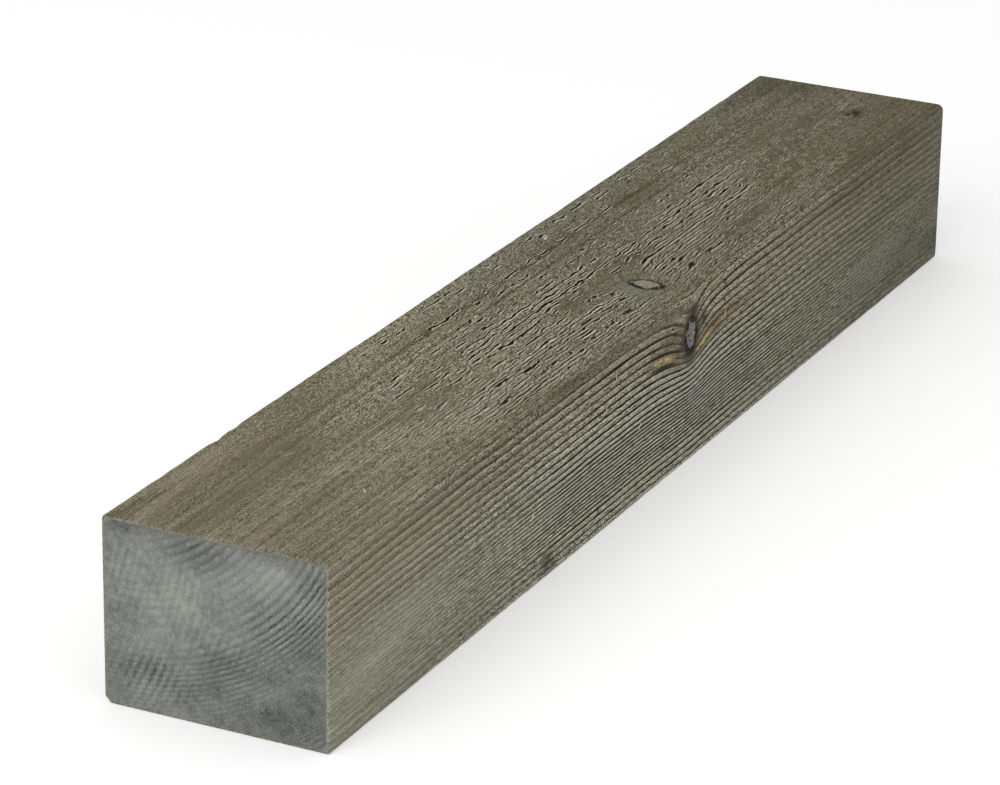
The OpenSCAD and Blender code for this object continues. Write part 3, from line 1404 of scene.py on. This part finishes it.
    def relief(self, points: Array, normals: Array, paint: dict[str, Array]) -> Array:
        """Height above the sawn surface: slow waves, fibre fuzz, worn late wood, knot and bruised arrises.

        Args:
            points: Places in millimetres.
            normals: Outward normals.
            paint: The long faces' attributes.

        Returns:
            The height along each normal, in millimetres.
        """
        along = self.offsets(points)[0]
        age, clearness, _ = np.moveaxis(paint["growth"], -1, 0)
        distance, rough = paint["branch"][..., 0], paint["surface"][..., 0]
        waves = self.wave_height * cell_noise(points, (45, 12, 12), Seed.WAVES, 2)
        fuzz = self.fuzz_height * cell_noise(points, (4.5, 0.8, 0.8), Seed.FUZZ, 2) * rough
        fuzz *= 0.5 + 0.5 * self.facing(normals)[Face.UPPER]
        worn = -self.late_wood_depth * clearness * smoothstep(0.5, 0.95, age % 1)
        knot = self.knot_height * smoothstep(0.95, 0.5, distance)
        knot -= self.knot_groove * bell(distance, 1.03, 0.14)
        corner = np.hypot(np.abs(points[..., 1]) - self.section.width / 2,
                          np.abs(points[..., 2] - self.section.height / 2) - self.section.height / 2)
        bruise = smoothstep(-0.1, 0.9, cell_noise(points, (6.0, 9, 9), Seed.BRUISE, 3))
        at_ends = smoothstep(0, 2.5, along) * smoothstep(0, 3.0, self.length - along)
        sunk = self.bruise_depth * bell(corner, 0, 1.6) * bruise
        return (waves + fuzz + worn + knot) * (0.25 + 0.75 * at_ends) - sunk

    def nicked(self, points: Array) -> Array:
        """Presses the two nicks into the plain side's upper arris: points in a ball move to its surface.

        Args:
            points: Places in millimetres.

        Returns:
            The places with the nicks pressed in.
        """
        moved = points.copy()
        worn = self.section.plain_upper_radius * (math.sqrt(2) - 1)
        for place, length, depth in zip(self.nick_places, self.nick_lengths, self.nick_depths):
            ball = ((length / 2) ** 2 + depth ** 2) / (2 * depth)
            away = (ball - depth - worn) / math.sqrt(2)
            corner = [place - self.length / 2, self.section.width / 2, self.section.height]
            centre = np.array(corner) + [0, away, away]
            offset = moved - centre
            distance = np.linalg.norm(offset, axis=-1, keepdims=True)
            moved = np.where(distance < ball, centre + offset / distance * ball, moved)
        return moved

    def end_net(self, ring: Array, pitch: float) -> tuple[Array, Array]:
        """A net of triangles inside an end's outline: a shaken grid, joined up with the outline.

        Args:
            ring: The outline's points.
            pitch: About how far apart the net's points lie.

        Returns:
            The y and z of the outline's points and then the net's, and the triangles as places among them.
        """
        half, top, margin = self.section.width / 2, self.section.height, 0.7 * pitch
        grid = np.meshgrid(np.arange(margin - half, half - margin + 0.01, pitch),
                           np.arange(margin, top - margin + 0.01, pitch), indexing="ij")
        inner = np.stack(grid, axis=-1).reshape(-1, 2)
        inner += 0.22 * pitch * np.random.default_rng(Seed.NET).uniform(-1, 1, inner.shape)
        reach = np.abs(inner[:, 0]) + np.abs(inner[:, 1] - top / 2)
        flat = np.vstack([ring[:, 1:], inner[reach < half + top / 2 - 4 * margin - 1]])
        loop = [(place, (place + 1) % len(ring)) for place in range(len(ring))]
        made = delaunay_2d_cdt([Vector(pair) for pair in flat.tolist()], loop, [], 1, 1e-7)
        source = np.array([places[0] for places in made[3]])
        return flat, source[np.array(made[2])]

    def end_face(self, end: End, ring: Array, pitch: float) -> tuple[Array, Array, dict[str, Array]]:
        """A sawn end: a net of triangles inside the end's outline, rippled by the blade's arcs.

        The ripple is a sine of the distance from the blade's centre, strong in soft patches, and every
        height fades out towards the outline.

        Args:
            end: Which end.
            ring: The outline's points.
            pitch: About how far apart the net's points lie.

        Returns:
            The net's own points, its triangles as places in ring then net, and the attributes of both.
        """
        flat, triangles = self.end_net(ring, pitch)
        points = np.column_stack([np.full(len(flat), end.value * self.length / 2), flat])
        _, across, down = self.offsets(points)
        edge = np.minimum.reduce([across, self.section.width - across, down, self.section.height - down])
        inside = smoothstep(0.4, 1.4, edge)
        near = float(end is End.NEAR)
        ripples, rings, tones = (near * self.clouded(across, down, clouds) for clouds in (
            self.near_ripples, self.near_rings, self.near_tones))
        ripples += 0.5 * smoothstep(0.1, 0.8, cell_noise(points, (9, 10, 8), Seed.PATCHES + end.value, 2))
        arcs = np.hypot(flat[:, 0] - self.blade[0], flat[:, 1] - self.blade[1]) * math.tau / self.blade_pitch
        ripple = np.sin(arcs + 0.8 * cell_noise(points, (9, 7, 7), Seed.ARCS)) * ripples
        height = self.ripple_height * ripple
        height += self.felt_height * cell_noise(points, (5, 1.6, 1.6), Seed.FELT, 2)
        height += self.hollow_height * cell_noise(points, (9, 9, 9), Seed.HOLLOWS)
        points[:, 0] += end.value * ((height - self.end_depth) * inside)
        rings += 0.05 + 0.14 * smoothstep(-0.2, 0.6, cell_noise(points, (9, 14, 12), Seed.END_RINGS, 2))
        tones += 0.12 * cell_noise(points, (9, 7, 5), Seed.END_TONES, 3)
        browner = 0.75 * smoothstep(1.5, 0.2, np.minimum(down, self.section.width - across))
        paint = {name: np.zeros((len(flat), 3)) for name in ATTRIBUTES}
        paint["growth"] = np.column_stack([self.rings.age(points), rings, ripple])
        # The third number darkens the end within 0.8 mm of its outline.
        paint["weather_and_light"] = np.column_stack([tones, browner, 0.25 * smoothstep(0.8, 0.0, edge)])
        return points[len(ring):], triangles, paint

    def clouded(self, across: Array, down: Array, clouds: Sequence[Cloud]) -> Array:
        """Sums soft clouds on an end: a bell of each cloud's size at its place."""
        return sum(cloud.strength * bell(across, cloud.across, cloud.breadth)
                   * bell(down, cloud.down, cloud.drop) for cloud in clouds)

    def assemble(self, outline: Outline, moved: Array, paint: dict[str, Array]) -> bpy.types.Object:
        """Joins the long faces and both ends in one closed mesh, with attributes, finishes and a bake map.

        Args:
            outline: The section's outline.
            moved: The long faces' finished points by row and column.
            paint: The long faces' attributes.

        Returns:
            The skin's object.
        """
        rows, columns = moved.shape[:2]
        index = np.arange(rows * columns).reshape(rows, columns)
        beside = np.roll(index, -1, axis=1)
        quads = np.stack([index[:-1], index[1:], beside[1:], beside[:-1]], axis=-1).reshape(-1, 4)
        points, total = [moved.reshape(-1, 3)], rows * columns
        attributes = {name: [values.reshape(-1, 3)] for name, values in paint.items()}
        corners, map_places = [quads.ravel()], [self.long_map(outline, moved[:, 0, 0])]
        for end, ring, pitch in ((End.NEAR, index[0], self.near_mesh), (End.FAR, index[-1], self.far_mesh)):
            net, triangles, end_paint = self.end_face(end, points[0][ring], pitch)
            places = np.concatenate([ring, total + np.arange(len(net))])[triangles]
            corners.append((places[:, ::-1] if end is End.NEAR else places).ravel())
            points.append(net)
            total += len(net)
            for name, values in end_paint.items():
                attributes[name].append(values[ring.size:])
            map_places.append(self.end_map(end, np.vstack(points)[corners[-1]]))
        mesh = self.filled_mesh(np.vstack(points), corners, len(quads))
        for name, values in attributes.items():
            layer = mesh.attributes.new(name, "FLOAT_VECTOR", "POINT")
            layer.data.foreach_set("vector", np.vstack(values).ravel())
        mesh.uv_layers.new(name="OFBake").data.foreach_set("uv", np.vstack(map_places).ravel())
        for finish in (LongGrainFinish(), EndGrainFinish()):
            mesh.materials.append(finish.material())
        return put("sawn_timber_skin", mesh)

    def filled_mesh(self, points: Array, corners: list[Array], quads: int) -> bpy.types.Mesh:
        """Puts points and faces into a mesh: the quads of the long faces, then the triangles of the ends.

        Args:
            points: All points in millimetres.
            corners: The faces' corners, the long faces' first.
            quads: How many of the faces are quads.

        Returns:
            The mesh, smooth apart from its sharp edges, with the ends in the second material slot.
        """
        loops = np.concatenate(corners)
        sides = np.concatenate([np.full(quads, 4), np.full((loops.size - 4 * quads) // 3, 3)])
        mesh = bpy.data.meshes.new("sawn_timber_skin")
        mesh.vertices.add(len(points))
        mesh.vertices.foreach_set("co", (points * MM).ravel())
        mesh.loops.add(loops.size)
        mesh.loops.foreach_set("vertex_index", loops)
        mesh.polygons.add(sides.size)
        mesh.polygons.foreach_set("loop_start", np.concatenate([[0], np.cumsum(sides)[:-1]]))
        mesh.polygons.foreach_set("material_index", (sides == 3).astype(np.int32))
        mesh.update(calc_edges=True)
        mesh.set_sharp_from_angle(angle=math.radians(self.sharp_angle))
        return mesh

    def long_map(self, outline: Outline, x: Array) -> Array:
        """The bake map of the long faces: the grain runs across it, the section up three quarters of it.

        Args:
            outline: The section's outline.
            x: Each row's place along X.

        Returns:
            Two numbers for each corner of each quad.
        """
        across = 0.002 + 0.996 * (x / self.length + 0.5)
        up = 0.002 + 0.746 * outline.spread
        first, second = np.meshgrid(across[:-1], up[:-1], indexing="ij")
        third, fourth = np.meshgrid(across[1:], up[1:], indexing="ij")
        corners = [(first, second), (third, second), (third, fourth), (first, fourth)]
        return np.stack([np.stack(pair, axis=-1) for pair in corners], axis=2).reshape(-1, 2)

    def end_map(self, end: End, points: Array) -> Array:
        """The bake map of an end: its y and z in the near or far box of the map's upper quarter.

        Args:
            end: Which end.
            points: The corners' places in millimetres.

        Returns:
            Two numbers for each corner.
        """
        left, breadth = (0.003, 0.6) if end is End.NEAR else (0.61, 0.387)
        return np.column_stack([left + breadth * (points[:, 1] / self.section.width + 0.5),
                                0.76 + 0.237 * points[:, 2] / self.section.height])


@dataclass
class Splinters:
    """Loose fibres that still hang on the faces: slim bent slivers, thin at the tip, joined in one mesh."""

    length: float
    width: float
    height: float
    placed: tuple[Fibre, ...] = (
        Fibre(Face.KNOT_SIDE, 123.2, 12.3, 2.2, 0.55, 80),
        Fibre(Face.KNOT_SIDE, 88.0, 23.5, 2.4, 0.60, 70),
        Fibre(Face.KNOT_SIDE, 88.3, 23.3, 1.9, 0.50, 115),
        Fibre(Face.KNOT_SIDE, 185.6, 10.7, 2.4, 0.55, 85),
        Fibre(Face.KNOT_SIDE, 128.0, 5.9, 1.9, 0.50, 95),
        Fibre(Face.KNOT_SIDE, 140.8, 22.1, 1.9, 0.50, 75),
        Fibre(Face.KNOT_SIDE, 132.8, 33.9, 1.9, 0.50, 100),
        Fibre(Face.KNOT_SIDE, 200.0, 6.4, 1.2, 0.45, 20),
        Fibre(Face.UPPER, 34.4, 39.2, 1.6, 0.55, 40),
        Fibre(Face.UPPER, 183.6, 6.2, 2.4, 0.7, 8),
    )
    loose_count: int = 12
    loose_length: float = 1.8
    loose_width: float = 0.16
    flatness: float = 0.35
    lift_share: float = 0.14
    most_lift: float = 0.32
    root_depth: float = 0.06
    tip_share: float = 0.06
    taper_power: float = 0.7
    sections: int = 6
    sides: int = 6
    seed: int = 23

    def scattered(self) -> Array:
        """Draws the small loose fibres on the upper face, most of them nearly along the grain.

        Returns:
            Rows of along, across, length, breadth and bearing in degrees.
        """
        rng = np.random.default_rng(self.seed)
        count = self.loose_count
        return np.column_stack([
            rng.uniform(20, self.length - 15, count),
            rng.normal(self.width * 0.52, 9, count).clip(4, self.width - 4),
            self.loose_length * rng.lognormal(0, 0.4, count),
            self.loose_width * rng.uniform(0.7, 1.3, count),
            rng.normal(0, 9, count)])

    def build(self) -> bpy.types.Object:
        """Carries a flat oval along each fibre's path and joins all fibres in one mesh.

        At share t the path has gone length times t along its bearing and lift times t squared off the face,
        and the oval's breadth is the fibre's breadth times (1 - t) to the taper's power.

        Returns:
            The splinters' object.
        """
        upper = [fibre[1:] for fibre in self.placed if fibre.face is Face.UPPER]
        side = np.array([fibre[1:] for fibre in self.placed if fibre.face is Face.KNOT_SIDE])
        top = np.vstack([np.array(upper), self.scattered()])
        rows = np.vstack([top, side])
        along = rows[:, 0] - self.length / 2
        across = np.concatenate([self.width / 2 - top[:, 1], np.full(len(side), -self.width / 2)])
        up = np.concatenate([np.full(len(top), self.height), self.height - side[:, 1]])
        starts = np.column_stack([along, across, up])
        bearing = np.radians(rows[:, 4])
        is_top = np.arange(len(rows))[:, None] < len(top)
        out = np.where(is_top, [0.0, 0.0, 1.0], [0.0, -1.0, 0.0])
        beside = np.where(is_top, [0.0, 1.0, 0.0], [0.0, 0.0, 1.0])
        forward = np.cos(bearing)[:, None] * np.array([1.0, 0, 0]) + np.sin(bearing)[:, None] * beside
        flank = np.cross(out, forward)
        share = np.linspace(0, 1, self.sections)
        angle = np.arange(self.sides) * math.tau / self.sides
        length = rows[:, 2, None, None]
        raised = np.minimum(self.lift_share * length, self.most_lift) * share[:, None] ** 2 - self.root_depth
        path = starts[:, None] + length * (share[:, None] - 0.5) * forward[:, None] + raised * out[:, None]
        taper = np.maximum(1 - share, self.tip_share) ** self.taper_power
        breadth = 0.5 * rows[:, 3, None, None, None] * taper[:, None, None]
        oval = np.cos(angle)[:, None] * flank[:, None, None]
        oval = oval + self.flatness * np.sin(angle)[:, None] * out[:, None, None]
        return self.joined(path[:, :, None] + breadth * oval)

    def joined(self, points: Array) -> bpy.types.Object:
        """Makes the mesh of all fibres: quads between the ovals, and a flat face at each end.

        Args:
            points: Places by fibre, oval and corner, in millimetres.

        Returns:
            The splinters' object.
        """
        fibres, sections, sides = points.shape[:3]
        index = np.arange(fibres * sections * sides).reshape(fibres, sections, sides)
        beside = np.roll(index, -1, axis=2)
        corners = [index[:, :-1], beside[:, :-1], beside[:, 1:], index[:, 1:]]
        quads = np.stack(corners, axis=-1).reshape(-1, 4)
        caps = np.vstack([index[:, 0, ::-1], index[:, -1]])
        mesh = bpy.data.meshes.new("loose_splinters")
        mesh.from_pydata((points.reshape(-1, 3) * MM).tolist(), [], quads.tolist() + caps.tolist())
        mesh.materials.append(SplinterFinish().material())
        mesh.shade_smooth()
        return put("loose_splinters", mesh)


@dataclass
class Studio:
    """Plain pale floor, soft white light all round with a large lamp ahead, and the camera."""

    lens: float = 159.84
    sensor: float = 36.0
    place: Size = (-831.87, -390.02, 379.26)
    azimuth: float = -63.858
    elevation: float = 21.695
    roll: float = 0.877
    floor_size: float = 6000.0
    sky: float = 0.72
    key_place: Size = (-850.0, 60.0, 680.0)
    key_size: float = 700.0
    key_power: float = 3.6

    def camera(self) -> None:
        """Sets the camera: it looks back along its azimuth and elevation, with a little roll."""
        turn, rise, roll = (math.radians(angle) for angle in (self.azimuth, self.elevation, self.roll))
        back = Vector((math.sin(turn) * math.cos(rise), -math.cos(turn) * math.cos(rise), math.sin(rise)))
        right = (-back).cross(Vector((0, 0, 1))).normalized()
        up = right.cross(-back)
        across = math.cos(roll) * right + math.sin(roll) * up
        upward = math.cos(roll) * up - math.sin(roll) * right
        data = bpy.data.cameras.new("camera")
        data.sensor_width = self.sensor
        data.lens = self.lens
        data.clip_start = 0.01
        camera = put("camera", data)
        turned = Matrix((across, upward, back)).transposed().to_4x4()
        camera.matrix_world = Matrix.Translation(Vector(self.place) * MM) @ turned
        bpy.context.scene.camera = camera

    def floor(self) -> None:
        """Lays the paper floor as one square on z = 0."""
        half = self.floor_size / 2 * MM
        mesh = bpy.data.meshes.new("paper_floor")
        corners = [(-half, -half, 0), (half, -half, 0), (half, half, 0), (-half, half, 0)]
        mesh.from_pydata(corners, [], [(0, 1, 2, 3)])
        mesh.materials.append(PaperFinish().material())
        paper = put("paper_floor", mesh)

    def light(self) -> None:
        """Sets an even world, plain white to the camera, and one large soft lamp ahead of the near end."""
        world = bpy.data.worlds.new("white_room")
        world.use_nodes = True
        tree = world.node_tree
        tree.nodes.clear()
        strength = ranged(tree, seen_directly(tree), 0.0, 1.0, self.sky, 1.0)
        sky = add_node(tree, "ShaderNodeBackground", {"Color": (1, 1, 1, 1), "Strength": strength})
        add_node(tree, "ShaderNodeOutputWorld", {"Surface": sky})
        bpy.context.scene.world = world
        data = bpy.data.lights.new("key_lamp", "AREA")
        data.size = self.key_size * MM
        data.energy = self.key_power
        lamp = put("key_lamp", data)
        lamp.location = Vector(self.key_place) * MM
        lamp.rotation_euler = (-lamp.location).to_track_quat("-Z", "Y").to_euler()

    def build(self) -> None:
        """Sets up camera, floor, light and the plain view transform."""
        self.camera()
        self.floor()
        self.light()
        bpy.context.scene.view_settings.view_transform = "Standard"


def main() -> None:
    """Builds the studio and the timber's pieces in order, and reports each piece."""
    logging.basicConfig(level=logging.INFO, format="%(name)s: %(message)s")
    Studio().build()
    low, high = (np.array(corner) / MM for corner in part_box(NODE))
    length, width, height = (high - low).tolist()
    skin = TimberSkin(length, SawnSection(width, height)).build()
    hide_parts(NODE)
    for piece in (skin, Splinters(length, width, height).build()):
        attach(piece, BODY)
        log.info("%s: %d faces", piece.name, len(piece.data.polygons))


if __name__ == "__main__":
    main()
